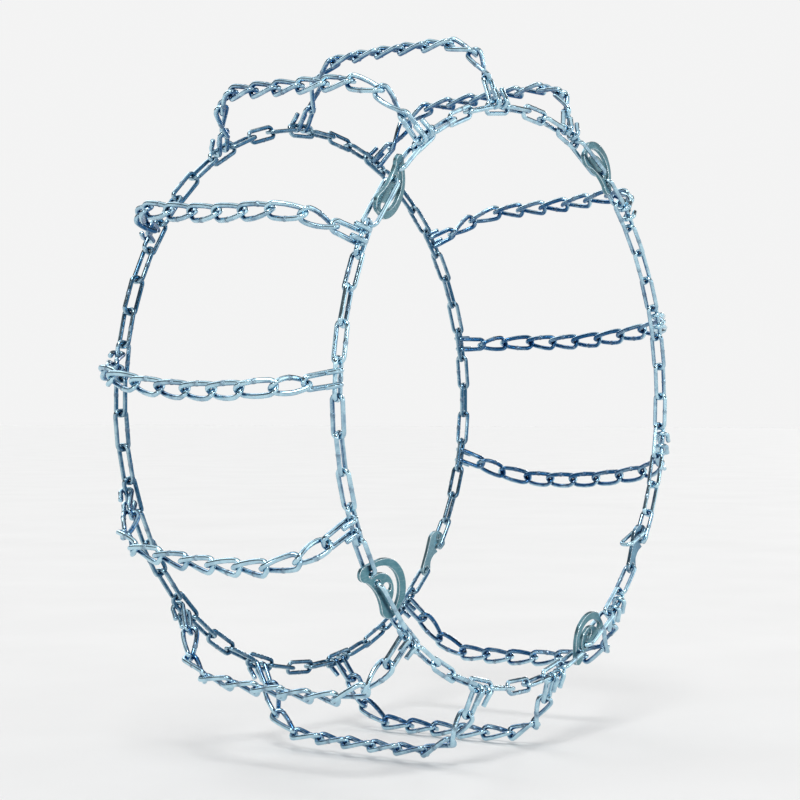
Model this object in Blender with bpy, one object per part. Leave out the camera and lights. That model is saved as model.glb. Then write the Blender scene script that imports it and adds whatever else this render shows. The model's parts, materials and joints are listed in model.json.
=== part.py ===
"""Tire snow chains in the shape they take on a tire: two side chains, thirteen cross chains with
their end hooks, four tension cams, a side chain fastener and a joining hook.

Metres. The axle lies along Y through the origin, which is at the middle of the tread. The street side
faces -Y. Angles around the ring run clockwise as seen from the street side, from the top.
"""

import math

import bmesh
import bpy
import numpy as np
from mathutils import Matrix, Vector

MM = 0.001

# Side chains: straight links, joined on a circle around the axle.
RING_RADIUS = 0.2761
RING_Y = 0.1239
INNER_RING_Y = 0.132
LINK_STEP = math.radians(6.6)
SIDE_WIRE = 2.1 * MM
SIDE_HALF_WIDTH = 5.75 * MM
HOOK_LINK_TILT = math.radians(15)
INNER_RING_TURN = math.radians(3.88)

# Cross chains: twisted links over the tread and both shoulders.
CROSS_COUNT = 13
FIRST_CROSS = math.radians(-33.5)
CROSS_LINKS = 9
CROSS_PITCH = 30.1 * MM
CROSS_SHIFT = -4.0 * MM
CROSS_WIRE = 2.4 * MM
CROSS_HALF_WIDTH = 6.5 * MM
TWIST_START = math.radians(60)
TWIST_END = math.radians(-30)
HOOKED_TWIST = math.radians(72)
CROSS_DROOP = math.radians(4.06)

# Tread line that the cross chains follow: a crowned middle, round shoulders, straight sides.
TREAD_RADIUS = 0.3426
CROWN_RADIUS = 2.15
CROWN_HALF = 0.0719
SHOULDER_RADIUS = 0.0404
SIDE_SLOPE = math.radians(68.9)
LINE_HALF = 0.165

# End hooks.
HOOK_WIRE = 2.4 * MM
HOOK_BEND = 5.2 * MM
HOOK_CURL = math.radians(72)
HOOK_LEG_HALF = 6.0 * MM
HOOK_BIGHT_HALF = 5.6 * MM
HOOK_TIP = 11 * MM

# Tension cams. Each one leans about the chain with its pivot link, by these degrees, as it lies on the
# sidewall.
CAM_BAYS = (2, 6, 9, 12)
OUTWARD_CAM_BAY = 2
CAM_CHORD = math.radians(13.94)
CAM_TILTS = (-8, -8, -15, 16)
CAM_REST_REACH = 11 * MM
CAM_SLACK_REACH = 29.5 * MM
CAM_TURN = math.radians(92)
PIVOT_HALF_WIDTH = 7.0 * MM
PIVOT_GAP = 0.8 * MM
SLOT_HALF = 3.2 * MM
SLOT_SPARE = 0.8 * MM
PIN_HOLE = 3.6 * MM

# Fastener, joining hook and plates.
FASTENER_BAY = 5
PLATE_THICKNESS = 4 * MM
KEEPER_WIRE = 2.0 * MM
KEEPER_HALF_WIDTH = 6.5 * MM
KEEPER_LENGTH = 34 * MM
KEEPER_HOLE = (40.5 * MM, -5.5 * MM)
KEEPER_WAY = (-0.85, -0.53, 0)
INNER_RUNS = 4

# How far the wires of one node run into each other where they meet, and the gap between two nodes.
WELD = 0.9 * MM
CROSS_WELD = 1.3 * MM
GAP = 0.4 * MM

OUTBOARD = Vector((0, -1, 0))
INBOARD = Vector((0, 1, 0))

# Angles of the cross chains: plain bays, bays with a cam, and the bay with the fastener.
PLAIN_BAY = 4 * LINK_STEP
CAM_BAY = 2 * LINK_STEP + CAM_CHORD
FASTENER_BAY_ANGLE = 2 * math.pi - 8 * PLAIN_BAY - 4 * CAM_BAY
FASTENER_CHORD = FASTENER_BAY_ANGLE - 5 * LINK_STEP
FASTENER_REACH = 2 * RING_RADIUS * math.sin(FASTENER_CHORD / 2) - 2 * SIDE_WIRE


def clear_scene():
    for item in list(bpy.data.objects):
        bpy.data.objects.remove(item, do_unlink=True)


def new_collection(name):
    collection = bpy.data.collections.new(name)
    bpy.context.scene.collection.children.link(collection)
    return collection


def new_material(name, colour, roughness, metallic=1.0):
    material = bpy.data.materials.new(name)
    material.use_nodes = True
    shader = material.node_tree.nodes["Principled BSDF"]
    shader.inputs["Base Color"].default_value = (*colour, 1)
    shader.inputs["Roughness"].default_value = roughness
    shader.inputs["Metallic"].default_value = metallic
    return material


clear_scene()
PARTS = new_collection("tire_snow_chains")
CUTTERS = new_collection("cutters")
BRIGHT_ZINC = new_material("bright_zinc", (0.55, 0.66, 0.72), 0.28)
WORN_ZINC = new_material("worn_zinc", (0.50, 0.62, 0.69), 0.34)
CAM_ZINC = new_material("cam_zinc", (0.24, 0.42, 0.47), 0.42)


def on_ring(angle, radius=RING_RADIUS, y=-RING_Y):
    return Vector((radius * math.sin(angle), y, radius * math.cos(angle)))


def frame(origin, x_axis, y_axis):
    """A placement with its X along x_axis and its Y as near y_axis as that allows."""
    x = x_axis.normalized()
    z = x.cross(y_axis).normalized()
    y = z.cross(x)
    return Matrix.Translation(origin) @ Matrix((x, y, z)).transposed().to_4x4()


def add_part(name, mesh, material, origin=Vector()):
    """A named solid whose mesh is in world coordinates, with its own origin moved to origin."""
    mesh.transform(Matrix.Translation(-origin))
    mesh.materials.clear()
    mesh.materials.append(material)
    mesh.shade_smooth()
    mesh.set_sharp_from_angle(angle=math.radians(40))
    part = bpy.data.objects.new(name, mesh)
    part.location = origin
    PARTS.objects.link(part)
    return part


def curve_to_mesh(curve):
    """The mesh of a curve, with its loose caps welded on."""
    guide = bpy.data.objects.new("guide", curve)
    CUTTERS.objects.link(guide)
    shown = guide.evaluated_get(bpy.context.evaluated_depsgraph_get())
    mesh = bpy.data.meshes.new_from_object(shown)
    bpy.data.objects.remove(guide)
    bpy.data.curves.remove(curve)
    shape = bmesh.new()
    shape.from_mesh(mesh)
    bmesh.ops.remove_doubles(shape, verts=shape.verts, dist=1e-7)
    shape.to_mesh(mesh)
    shape.free()
    return mesh


def wire(points, radius, closed):
    curve = bpy.data.curves.new("wire", "CURVE")
    curve.dimensions = "3D"
    curve.bevel_depth = radius
    curve.bevel_resolution = 0
    curve.use_fill_caps = not closed
    line = curve.splines.new("POLY")
    line.points.add(len(points) - 1)
    for knot, point in zip(line.points, points):
        knot.co = (*point, 1)
    line.use_cyclic_u = closed
    return curve_to_mesh(curve)


def plate(outlines):
    """A flat plate in the XY plane: the first outline is its edge, the others are its holes."""
    curve = bpy.data.curves.new("plate", "CURVE")
    curve.dimensions = "2D"
    curve.fill_mode = "BOTH"
    curve.extrude = PLATE_THICKNESS / 2
    for outline in outlines:
        line = curve.splines.new("POLY")
        line.points.add(len(outline) - 1)
        for knot, (x, y) in zip(line.points, outline):
            knot.co = (x, y, 0, 1)
        line.use_cyclic_u = True
    return curve_to_mesh(curve)


def loop(half_length, half_width, twist_start=0.0, twist_end=0.0):
    """Corners of a link along X, whose plane turns about X from twist_start to twist_end."""
    corners = []
    for end, side in ((-1, -1), (-1, 1), (1, 1), (1, -1)):
        turn = twist_start if end < 0 else twist_end
        across = side * half_width
        corners.append(Vector((end * half_length, across * math.cos(turn), across * math.sin(turn))))
    return corners


def gather(pieces):
    """One mesh of several (mesh, placement) pairs."""
    shape = bmesh.new()
    for mesh, placement in pieces:
        first = len(shape.verts)
        shape.from_mesh(mesh)
        shape.verts.ensure_lookup_table()
        bmesh.ops.transform(shape, matrix=placement, verts=shape.verts[first:])
    joined = bpy.data.meshes.new("links")
    shape.to_mesh(joined)
    shape.free()
    return joined


def chain_part(name, links, material, origin=Vector()):
    """A run of links as one solid: every second link is unioned into the others."""
    part = add_part(name, gather(links[0::2]), material, origin)
    if len(links) > 1:
        others = gather(links[1::2])
        others.transform(Matrix.Translation(-origin))
        helper = bpy.data.objects.new(name + "_links", others)
        helper.location = origin
        helper.hide_render = True
        helper.display_type = "WIRE"
        CUTTERS.objects.link(helper)
        union = part.modifiers.new("union", "BOOLEAN")
        union.operation = "UNION"
        union.object = helper
    return part


def side_link(start, end, side, upright):
    """A side link between two joint points, with its bars level with the sidewall or upright on it."""
    middle = (start + end) / 2
    along = end - start
    outward = Vector((middle.x, 0, middle.z)).normalized()
    across = outward * math.cos(HOOK_LINK_TILT) + side * math.sin(HOOK_LINK_TILT)
    corners = loop(along.length / 2 + SIDE_WIRE, SIDE_HALF_WIDTH)
    return wire(corners, SIDE_WIRE, True), frame(middle, along, side if upright else across)


def link_run(spans, side, y, shift=0.0, spare=0.0):
    """The links of one node from (start, end, upright) spans, clear of what its two ends hold."""
    links = []
    for index, (start, end, upright) in enumerate(spans):
        first, last = index == 0, index == len(spans) - 1
        start += shift + (-spare if first else WELD) / RING_RADIUS
        end += shift - (-spare if last else WELD) / RING_RADIUS
        ends = on_ring(start, y=y), on_ring(end, y=y)
        links.append(side_link(*ends, side, upright))
    return links


def hook_angles():
    """The angle of each cross chain around the ring."""
    angles = [FIRST_CROSS]
    for bay in range(CROSS_COUNT - 1):
        step = PLAIN_BAY
        if bay in CAM_BAYS:
            step = CAM_BAY
        if bay == FASTENER_BAY:
            step = FASTENER_BAY_ANGLE
        angles.append(angles[-1] + step)
    return angles


def tread_line(s):
    """Y and radius of the tread line at s, its length from mid-tread towards the street side."""
    side = math.copysign(1, s)
    s = abs(s)
    lean = CROWN_HALF / CROWN_RADIUS
    crown = min(s, CROWN_HALF) / CROWN_RADIUS
    y = CROWN_RADIUS * math.sin(crown)
    r = TREAD_RADIUS - CROWN_RADIUS * (1 - math.cos(crown))
    bend = min(max(s - CROWN_HALF, 0) / SHOULDER_RADIUS, SIDE_SLOPE - lean)
    y += SHOULDER_RADIUS * (math.sin(lean + bend) - math.sin(lean))
    r -= SHOULDER_RADIUS * (math.cos(lean) - math.cos(lean + bend))
    rest = max(s - CROWN_HALF - SHOULDER_RADIUS * (SIDE_SLOPE - lean), 0)
    return -side * (y + rest * math.cos(SIDE_SLOPE)), r - rest * math.sin(SIDE_SLOPE)


def on_cross_line(angle, s):
    """A cross chain's line hangs a little below the straight way between its two hooks."""
    y, r = tread_line(s)
    droop = CROSS_DROOP * math.sin(angle) * (1 - (s / LINE_HALF) ** 2)
    turn = INNER_RING_TURN * (LINE_HALF - s) / (2 * LINE_HALF)
    return on_ring(angle + droop + turn, r, y)


def joints_on_line(angle):
    """Joint points one pitch apart along a cross chain's line, from the inner to the outer end.

    The middle one of an odd number of links lies CROSS_SHIFT from mid-tread.
    """
    points = []
    for direction in (-1, 1):
        s = CROSS_SHIFT + direction * CROSS_PITCH / 2
        for _ in range(CROSS_LINKS // 2 + 1):
            here = on_cross_line(angle, s)
            points = [here, *points] if direction < 0 else [*points, here]
            low, high = 0.5 * CROSS_PITCH, 1.6 * CROSS_PITCH
            for _ in range(40):
                middle = (low + high) / 2
                if (on_cross_line(angle, s + direction * middle) - here).length < CROSS_PITCH:
                    low = middle
                else:
                    high = middle
            s += direction * low
    return points


def twist_link(start, end, angle, first, last):
    """A twisted link lying on the tread, with room at an end that holds a hook."""
    along = (end - start).normalized()
    if not first:
        start = start + along * CROSS_WELD
    if not last:
        end = end - along * CROSS_WELD
    middle = (start + end) / 2
    rolling = Vector((math.cos(angle), 0, -math.sin(angle)))
    twists = HOOKED_TWIST if first else TWIST_START, -HOOKED_TWIST if last else TWIST_END
    corners = loop((end - start).length / 2 + CROSS_WIRE, CROSS_HALF_WIDTH, *twists)
    return wire(corners, CROSS_WIRE, True), frame(middle, along, rolling)


def end_hook(bar, bar_axis, bight, side):
    """A U of wire: its bight holds a twisted link, its legs wrap the bar and turn back outside it."""
    reach = bight - bar
    place = frame(bar, reach, bar_axis)
    out = 1 if (place.to_3x3() @ Vector((0, 0, 1))).dot(side) > 0 else -1
    curl = HOOK_BEND / math.cos(HOOK_CURL / 2)
    lean = place.to_3x3().transposed() @ bar_axis
    points = []
    for hand in (1, -1):
        foot = hand * HOOK_LEG_HALF * lean.x / lean.y
        leg = [(foot + HOOK_TIP, HOOK_BEND + 1 * MM)]
        leg += [(foot - curl * math.cos(a), curl * math.sin(a)) for a in (HOOK_CURL, 0, -HOOK_CURL)]
        leg = [Vector((x, hand * HOOK_LEG_HALF, out * b)) for x, b in leg]
        leg.append(Vector((reach.length, hand * HOOK_BIGHT_HALF, 0)))
        points += leg[::hand]
    mesh = wire(points, HOOK_WIRE, False)
    mesh.transform(place)
    return mesh


def bar_centre(angle, side, y):
    """The middle of a hook link's outward bar."""
    outward = Vector((math.sin(angle), 0, math.cos(angle)))
    across = outward * math.cos(HOOK_LINK_TILT) + side * math.sin(HOOK_LINK_TILT)
    middle = on_ring(angle, RING_RADIUS * math.cos(LINK_STEP / 2), y)
    return middle + across * SIDE_HALF_WIDTH


def cross_chain(number, angle):
    """A cross chain and its two end hooks, all with their origins on the line between the bars."""
    tag = f"{number:02d}"
    joints = joints_on_line(angle)
    outer_bar = bar_centre(angle, OUTBOARD, -RING_Y)
    inner_bar = bar_centre(angle + INNER_RING_TURN, INBOARD, INNER_RING_Y)
    links = []
    for index, (start, end) in enumerate(zip(joints, joints[1:])):
        near = angle + INNER_RING_TURN * (1 - (index + 0.5) / CROSS_LINKS)
        links.append(twist_link(start, end, near, index == 0, index == CROSS_LINKS - 1))
    chain_part("cross_chain_" + tag, links, BRIGHT_ZINC, (outer_bar + inner_bar) / 2)
    ends = (
        ("outer_hook_", outer_bar, angle, joints[-1], joints[-2], OUTBOARD),
        ("inner_hook_", inner_bar, angle + INNER_RING_TURN, joints[0], joints[1], INBOARD),
    )
    for name, bar, bar_angle, last, before, side in ends:
        along = (last - before).normalized()
        bight = last - along * (HOOK_WIRE + GAP)
        bar_axis = Vector((math.cos(bar_angle), 0, -math.sin(bar_angle)))
        add_part(name + tag, end_hook(bar, bar_axis, bight, side), BRIGHT_ZINC, bar)


def arc(centre, radius, start, end, count):
    """Points on an arc; start and end in degrees."""
    angles = [math.radians(a) for a in np.linspace(start, end, count)]
    return [(centre[0] + radius * math.cos(a), centre[1] + radius * math.sin(a)) for a in angles]


def cam_swing(arm, reach, slack):
    """How far the pivot link swings while the bow in the slot goes from rest to its slack end."""
    return math.acos((arm**2 + reach**2 - slack**2) / (2 * arm * reach))


def slot_line(arm, distance, count):
    """Where the fixed bow lies in the turning cam: angle and radius from the cam's pivot."""
    swing = cam_swing(arm, distance, CAM_SLACK_REACH)
    line = []
    for swung in np.linspace(0, swing, count):
        x = distance - arm * math.cos(swung)
        y = -arm * math.sin(swung)
        line.append((math.atan2(y, x) - swung * (1 + CAM_TURN / swing), math.hypot(x, y)))
    return line


def end_cap(centre, corner):
    """Two points that round a slot's end, from the corner where one of its sides stops."""
    spoke = corner - centre
    return [centre + Matrix.Rotation(math.radians(a), 2) @ spoke for a in (60, 120)]


def cam_plate(arm, distance):
    """The cam: a spiral slot with a rim around it, two lobes, a pivot hole and a tool hole."""
    centre = [Vector((r * math.cos(a), r * math.sin(a))) for a, r in slot_line(arm, distance, 13)]
    centre[0] += (centre[0] - centre[1]).normalized() * SLOT_SPARE
    centre[-1] += (centre[-1] - centre[-2]).normalized() * SLOT_SPARE
    inner, outer, edge = [], [], []
    for index, point in enumerate(centre):
        run = (centre[min(index + 1, 12)] - centre[max(index - 1, 0)]).normalized()
        away = Vector((-run.y, run.x))
        rim = (4.5 + 3.2 * min(index / 5, 1)) * MM
        outer.append(point + away * SLOT_HALF)
        inner.append(point - away * SLOT_HALF)
        edge.append(point + away * (SLOT_HALF + rim))
    slot = inner + end_cap(centre[-1], inner[-1]) + outer[::-1] + end_cap(centre[0], outer[0])
    lobe = arc((15.3 * MM, 5.3 * MM), 7.6 * MM, 150, -30, 6)
    tail = arc((centre[-1].x, 1 * MM), 9.2 * MM, 210, 70, 5)
    start, end = Vector(tail[-1]), Vector(lobe[0])
    waist = [start.lerp(end, f) - Vector((0, 15 * MM * f * (1 - f))) for f in (0.25, 0.5, 0.75)]
    pin = arc((0, 0), PIN_HOLE, 0, 315, 8)
    tool = arc((-9.5 * MM, -6 * MM), 3.9 * MM, -60, 120, 4) + arc((-11.5 * MM, -7.2 * MM), 3.9 * MM, 120, 300, 4)
    return plate([lobe + edge[2:-1] + tail + waist, slot, pin, tool])


def hook_plate():
    """The fastener's plate about its pivot hole: a head with a slot open to +Y, and a ring hole."""
    seat = FASTENER_REACH
    heel = arc((0, 0), 7.5 * MM, 90, 270, 5)
    spine = [(15 * MM, -11.5 * MM)]
    head = arc((33 * MM, -2 * MM), 15 * MM, -100, 55, 7)
    upper_jaw = arc((0, 0), seat + SLOT_HALF, 14, 0, 3)
    bend = arc((seat, 0), SLOT_HALF, -60, -120, 2)
    lower_jaw = arc((0, 0), seat - SLOT_HALF, 0, 9, 2)
    shank = [(19 * MM, 0.5 * MM), (10 * MM, 0.5 * MM)]
    outline = heel + spine + head + upper_jaw + bend + lower_jaw + shank
    return plate([outline, arc((0, 0), PIN_HOLE, 0, 315, 8), arc(KEEPER_HOLE, 3 * MM, 0, 315, 8)])


def tension_cam(number, angle, outward, tilt):
    """A cam on the bow of a fixed link, and the long link that joins it to the hook link before."""
    hook_joint = on_ring(angle + LINK_STEP / 2)
    slot_joint = on_ring(angle + LINK_STEP / 2 + CAM_CHORD)
    along = (slot_joint - hook_joint).normalized()
    bow = slot_joint - along * SIDE_WIRE
    foot = hook_joint - along * (SIDE_WIRE + PIVOT_GAP)
    pivot = bow - along * CAM_REST_REACH
    lean = Matrix.Rotation(tilt, 3, along)
    away = lean @ Vector((pivot.x, 0, pivot.z)).normalized() * (-1 if outward else 1)
    arm = (pivot - foot).length
    mesh = cam_plate(arm, (bow - foot).length)
    mesh.transform(frame(pivot, along, away))
    add_part(f"tension_cam_{number}", mesh, CAM_ZINC, pivot)
    link = wire(loop(arm / 2, PIVOT_HALF_WIDTH), SIDE_WIRE, True)
    link.transform(frame((pivot + foot) / 2, along, lean @ OUTBOARD))
    add_part(f"cam_pivot_link_{number}", link, BRIGHT_ZINC, foot)


def ring_spans(angles, with_cams):
    """Runs of (start, end, upright) links, once round the ring from the fastener to the fastener."""
    half = LINK_STEP / 2
    order = [(FASTENER_BAY + 1 + k) % CROSS_COUNT for k in range(CROSS_COUNT)]
    first = angles[order[0]] - half
    runs = [[(first - LINK_STEP, first, True)]]
    for number in order:
        angle = angles[number] + (0 if number > FASTENER_BAY else 2 * math.pi)
        runs[-1].append((angle - half, angle + half, False))
        joint, step = angle + half, LINK_STEP
        if number in CAM_BAYS and with_cams:
            start = joint + CAM_CHORD
            runs.append([(start, start + LINK_STEP, True)])
            continue
        if number in CAM_BAYS:
            step = (CAM_BAY - LINK_STEP) / 3
        runs[-1] += [(joint + step * k, joint + step * (k + 1), k != 1) for k in range(3)]
    return runs


def side_chains(angles):
    """The two side chains as runs of links."""
    for number, spans in enumerate(ring_spans(angles, True), 1):
        links = link_run(spans, OUTBOARD, -RING_Y)
        chain_part(f"outer_side_chain_{number}", links, BRIGHT_ZINC)
    (spans,) = ring_spans(angles, False)
    breaks = [len(spans) * k // INNER_RUNS for k in range(INNER_RUNS + 1)]
    for number, (start, end) in enumerate(zip(breaks, breaks[1:]), 1):
        links = link_run(spans[start:end], INBOARD, INNER_RING_Y, INNER_RING_TURN, GAP / 2)
        chain_part(f"inner_side_chain_{number}", links, WORN_ZINC)


def fastener(name, low_angle, y, material):
    """A hook plate between a fixed link's bow in its pivot hole and another bow in its open slot."""
    low, high = on_ring(low_angle, y=y), on_ring(low_angle - FASTENER_CHORD, y=y)
    up = (high - low).normalized()
    pivot = low + up * SIDE_WIRE
    outward = Vector((pivot.x, 0, pivot.z)).normalized()
    mesh = hook_plate()
    place = frame(pivot, up, outward)
    mesh.transform(place)
    add_part(name, mesh, material, pivot)
    return place


def keeper_ring(place):
    """The oval ring that hangs in the fastener's head."""
    hole = place @ Vector((*KEEPER_HOLE, 0))
    along = place.to_3x3() @ Vector(KEEPER_WAY)
    ring = wire(loop(KEEPER_LENGTH / 2, KEEPER_HALF_WIDTH), KEEPER_WIRE, True)
    ring.transform(frame(hole + along.normalized() * KEEPER_LENGTH / 2, along, OUTBOARD))
    add_part("keeper_ring", ring, BRIGHT_ZINC, hole)


angles = hook_angles()
side_chains(angles)
for number, angle in enumerate(angles, 1):
    cross_chain(number, angle)
for number, (bay, tilt) in enumerate(zip(CAM_BAYS, CAM_TILTS), 1):
    tension_cam(number, angles[bay], bay == OUTWARD_CAM_BAY, math.radians(tilt))
fastener_low = angles[FASTENER_BAY + 1] - 1.5 * LINK_STEP
place = fastener("side_chain_fastener", fastener_low, -RING_Y, CAM_ZINC)
keeper_ring(place)
fastener("inner_joining_hook", fastener_low + INNER_RING_TURN, INNER_RING_Y, WORN_ZINC)
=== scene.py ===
"""Tire snow chains in their fitted shape: the looks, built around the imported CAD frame.

Metres. The axle lies along Y through the origin, at mid-tread, and the street side faces -Y.
Angles around the ring run clockwise as seen from the street side, from the top.
"""

import json
import math
import random

import bmesh
import bpy
import numpy as np
from mathutils import Matrix, Vector

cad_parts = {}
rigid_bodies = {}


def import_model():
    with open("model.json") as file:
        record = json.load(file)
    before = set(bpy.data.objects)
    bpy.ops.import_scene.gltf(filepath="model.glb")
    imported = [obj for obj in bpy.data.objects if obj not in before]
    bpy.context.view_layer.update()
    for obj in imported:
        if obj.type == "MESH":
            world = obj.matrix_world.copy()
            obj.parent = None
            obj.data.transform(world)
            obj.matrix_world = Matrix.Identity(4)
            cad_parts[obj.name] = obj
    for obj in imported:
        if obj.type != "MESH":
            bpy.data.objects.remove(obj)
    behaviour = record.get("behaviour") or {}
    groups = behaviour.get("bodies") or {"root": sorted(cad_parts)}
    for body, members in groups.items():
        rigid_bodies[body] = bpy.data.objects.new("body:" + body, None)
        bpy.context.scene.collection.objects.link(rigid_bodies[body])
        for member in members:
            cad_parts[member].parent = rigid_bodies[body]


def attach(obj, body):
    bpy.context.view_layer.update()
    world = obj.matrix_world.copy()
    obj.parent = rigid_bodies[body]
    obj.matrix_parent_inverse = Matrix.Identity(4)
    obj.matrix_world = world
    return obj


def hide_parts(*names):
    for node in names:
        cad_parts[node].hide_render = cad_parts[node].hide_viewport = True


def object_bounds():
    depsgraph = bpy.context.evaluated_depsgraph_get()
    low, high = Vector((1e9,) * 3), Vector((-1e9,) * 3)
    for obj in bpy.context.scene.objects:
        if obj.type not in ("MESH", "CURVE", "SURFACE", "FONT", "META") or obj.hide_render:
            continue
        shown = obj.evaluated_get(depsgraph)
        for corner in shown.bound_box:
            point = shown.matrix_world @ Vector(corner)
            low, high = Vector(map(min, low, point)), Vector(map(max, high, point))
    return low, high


MM = 0.001

# Side chains: the same ring, links and spans as the CAD frame.
RING_RADIUS = 0.2761
RING_Y = 0.1239
INNER_RING_Y = 0.132
LINK_STEP = math.radians(6.6)
SIDE_WIRE = 2.1 * MM
SIDE_HALF_WIDTH = 5.75 * MM
SIDE_CORNER = 4.7 * MM
HOOK_LINK_TILT = math.radians(15)
INNER_RING_TURN = math.radians(3.88)
INNER_RUNS = 4

# Cross chains.
CROSS_COUNT = 13
FIRST_CROSS = math.radians(-33.5)
CROSS_LINKS = 9
CROSS_PITCH = 30.1 * MM
CROSS_SHIFT = -4.0 * MM
CROSS_WIRE = 2.4 * MM
CROSS_HALF_WIDTH = 6.5 * MM
CROSS_CORNER = 5.9 * MM
TWIST_START = math.radians(60)
TWIST_END = math.radians(-30)
HOOKED_TWIST = math.radians(72)
CROSS_DROOP = math.radians(4.06)

# Tread line: a crowned middle, round shoulders, straight sides.
TREAD_RADIUS = 0.3426
CROWN_RADIUS = 2.15
CROWN_HALF = 0.0719
SHOULDER_RADIUS = 0.0404
SIDE_SLOPE = math.radians(68.9)
LINE_HALF = 0.165

# The side of a wire that faces the tire, which is painted in shade, is the one turned to this circle at
# mid-tread.
TIRE_CORE = 0.25

# End hooks: two legs joined by a bight, each curled round the bar by these degrees, and cut square.
HOOK_WIRE = 2.4 * MM
HOOK_BEND = 5.2 * MM
HOOK_CURL = (100, 284)
HOOK_LEG_HALF = 6.0 * MM
HOOK_BIGHT_HALF = 5.6 * MM
HOOK_TIP = 11 * MM
HOOK_TIP_FLARE = 1.1 * MM
HOOK_CHAMFER = 0.45 * MM
HOOK_CUT_SHARE = 0.82

# Tension cams. Each one leans about the chain with its pivot link, by these degrees.
CAM_BAYS = (2, 6, 9, 12)
OUTWARD_CAM_BAY = 2
CAM_CHORD = math.radians(13.94)
CAM_TILTS = (-8, -8, -15, 16)
CAM_REST_REACH = 11 * MM
CAM_SLACK_REACH = 29.5 * MM
CAM_TURN = math.radians(92)
PIVOT_HALF_WIDTH = 7.0 * MM
PIVOT_GAP = 0.8 * MM
SLOT_HALF = 3.2 * MM
SLOT_SPARE = 0.8 * MM
SLOT_STEPS = 41
PIN_HOLE = 3.6 * MM

# The cam's edge: a rim beside the slot, a tail, a waist and a lobe. The rim is at its full width from
# CAM_RIM_FULL_AT of the slot's length on, and leaves out CAM_RIM_ENDS of the slot's steps.
CAM_RIM = 4.5 * MM
CAM_RIM_GROWTH = 3.2 * MM
CAM_RIM_FULL_AT = 1 / 2.4
CAM_RIM_ENDS = (7, 4)
CAM_LOBE = (15.3 * MM, 5.3 * MM)
CAM_LOBE_RADIUS = 7.6 * MM
CAM_TAIL_RISE = 1 * MM
CAM_TAIL_RADIUS = 9.2 * MM
CAM_WAIST_DIP = 15 * MM
TOOL_HOLE_RADIUS = 3.9 * MM
TOOL_HOLE_FRONT = (-9.5 * MM, -6 * MM)
TOOL_HOLE_BACK = (-11.5 * MM, -7.2 * MM)

# Fastener and joining hook: X runs to the upper link from the pivot hole, and Y away from the axle.
FASTENER_BAY = 5
HEEL_RADIUS = 7.5 * MM
SPINE = ((7 * MM, -9.4 * MM), (15 * MM, -11.5 * MM), (23 * MM, -14.2 * MM))
HEAD = (33 * MM, -2 * MM)
HEAD_RADIUS = 15 * MM
SHANK = (
    (22 * MM, 1.6 * MM), (19 * MM, 0.5 * MM), (14 * MM, 0), (10 * MM, 0.5 * MM), (5 * MM, 4.5 * MM),
)

# The oval ring in the fastener's head.
KEEPER_WIRE = 2.0 * MM
KEEPER_HALF_WIDTH = 6.5 * MM
KEEPER_LENGTH = 34 * MM
KEEPER_HOLE = (40.5 * MM, -5.5 * MM)
KEEPER_HOLE_RADIUS = 3 * MM
KEEPER_WAY = (-0.85, -0.53, 0)

# A long oval link's corners are this much tighter than a half circle.
OVAL_CORNER = 0.5 * MM

# Stamped plates.
PLATE_THICKNESS = 4 * MM
PLATE_ROUND = 0.55 * MM

# Wires that touch keep this much air between them.
TOUCH = 0.05 * MM
GAP = 0.4 * MM

# How much painted shade the inner side of a link gets, beside the painted shade on the side that faces
# the tire.
INNER_SHADE = 0.55

# The weld on one bar of a link: a bead with a little neck on each side, off the middle by up to
# WELD_SHIFT of the link's half length.
WELD_SHIFT = 0.06
BEAD_WIDTH = 1.15 * MM
BEAD_SWELL = 0.13
FLASH_OFFSET = 1.9 * MM
FLASH_WIDTH = 0.7 * MM
FLASH_NECK = 0.035
FLASH_SHADE = 0.5
CROSS_WELD_SIZE = 1.15

# How much a plate's edge attribute shows wear: on its faces, its cut wall, and its rounding.
FACE_WEAR = 0.05
WALL_WEAR = 0.10
ROUNDING_WEAR = 1.0

# Mesh detail.
WIRE_SIDES = 14
CORNER_STEPS = 7
BAR_STEPS = 10
SMOOTH_ROUNDS = 2
HALVINGS = 40
SHARP_ANGLE = math.radians(35)
NO_WIRE_STARTS_ALONG = (0.3, 0.5, 0.8)

# Camera, from the photograph's angle.
CAMERA_PLACE = (-1.581, -1.167, -0.015)
CAMERA_FORWARD = (0.8005, 0.5993, 0.0068)
CAMERA_LENS = 89.0
CAMERA_SENSOR = 36

# Studio: the floor, the suns (name, direction, spread in degrees, power, colour), and the grey of the
# world from straight down to straight up.
FLOOR_HALF = 40
FLOOR_DROP = 0.5 * MM
SUNS = (
    ("key", (0.55, 0.35, -0.85), 18, 1.35, (1.0, 0.99, 0.97)),
    ("front_line", (0.95, 0.15, -0.25), 8, 0.22, (1.0, 1.0, 1.0)),
    ("street_line", (0.15, 0.97, -0.2), 8, 0.22, (1.0, 1.0, 1.0)),
    ("back_line", (-0.9, -0.35, -0.25), 8, 0.22, (1.0, 1.0, 1.0)),
    ("fill", (-0.6, 0.75, -0.45), 40, 0.55, (0.94, 0.97, 1.0)),
    ("rim", (-0.35, -0.8, -0.7), 30, 0.6, (0.96, 0.98, 1.0)),
)
WORLD_GREYS = (
    (0.0, 0.50), (0.46, 0.90), (0.62, 0.90), (0.65, 0.14), (0.85, 0.07), (0.91, 0.95), (1.0, 1.0),
)

# Colours laid over the plating.
SCUFFED = (0.86, 0.90, 0.92)
GRIME = (0.12, 0.17, 0.22)
BURNT = (0.13, 0.19, 0.27)
ROLLED = (0.42, 0.60, 0.65)
SPECKED = (0.10, 0.19, 0.24)
RUBBED = (0.74, 0.84, 0.87)

OUTBOARD = Vector((0, -1, 0))
INBOARD = Vector((0, 1, 0))

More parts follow.
